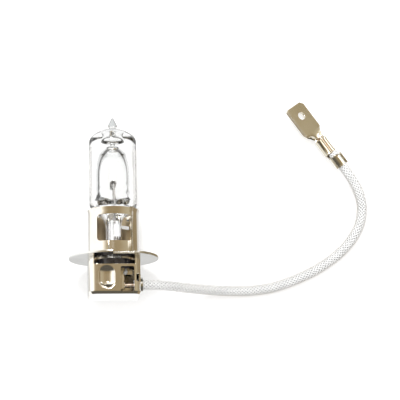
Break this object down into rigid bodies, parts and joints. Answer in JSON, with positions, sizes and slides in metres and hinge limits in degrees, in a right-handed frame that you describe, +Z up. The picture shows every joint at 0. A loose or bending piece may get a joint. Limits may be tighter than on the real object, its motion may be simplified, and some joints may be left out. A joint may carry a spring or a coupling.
{
  "type": "headlight bulb",
  "caption": "Halogen headlight bulb: quartz envelope in a windowed sleeve, round seating flange, boxed base, and a braided flying lead ending in a blade terminal.",
  "frame": {"origin": "On the surface that the bulb lies on, under the middle of the bulb's box without its lead. The flange rim and the glass shoulder touch z = 0.", "axes": "+Z is up from the surface. The glass points along +Y, dips 10 degrees and leans 1.2 degrees to the left, and the lead leaves towards +X. The windows face +Z."},
  "size_m": [0.0742, 0.05, 0.0218],
  "materials": {
    "quartz": "clear fused quartz",
    "tungsten": "dark drawn tungsten wire",
    "molybdenum": "grey drawn wire and foil",
    "nickel_plate": "bright nickel plate over pressed steel",
    "nickel_satin": "satin nickel plate over pressed steel",
    "spring_strip": "straw-coloured spring strip",
    "weld_metal": "heat-tinted weld nuggets",
    "glazed_ceramic": "dark glazed ceramic",
    "tinned_brass": "tin-plated brass strip",
    "strand_copper": "tinned copper strands",
    "braid": "white glass-fibre braid, lightly varnished"
  },
  "bodies": {
    "root": {"quartz_envelope": "quartz", "filament": "tungsten", "filament_post_live": "molybdenum", "filament_post_ground": "molybdenum", "foil_live": "molybdenum", "foil_ground": "molybdenum", "outer_lead_live": "molybdenum", "outer_lead_ground": "molybdenum", "holder_sleeve": "nickel_plate", "clip_left": "spring_strip", "clip_right": "spring_strip", "flange": "nickel_satin", "flange_welds": "weld_metal", "base_housing": "nickel_plate", "base_cover": "nickel_satin", "insulator_disc": "glazed_ceramic", "live_contact": "tinned_brass", "ground_strap": "spring_strip", "contact_welds": "weld_metal", "exit_ferrule": "nickel_satin", "lead_tail": "braid", "base_strands": "strand_copper", "lead_cable": "braid", "terminal_strands": "strand_copper", "blade_terminal": "tinned_brass"}
  },
  "joints": []
}
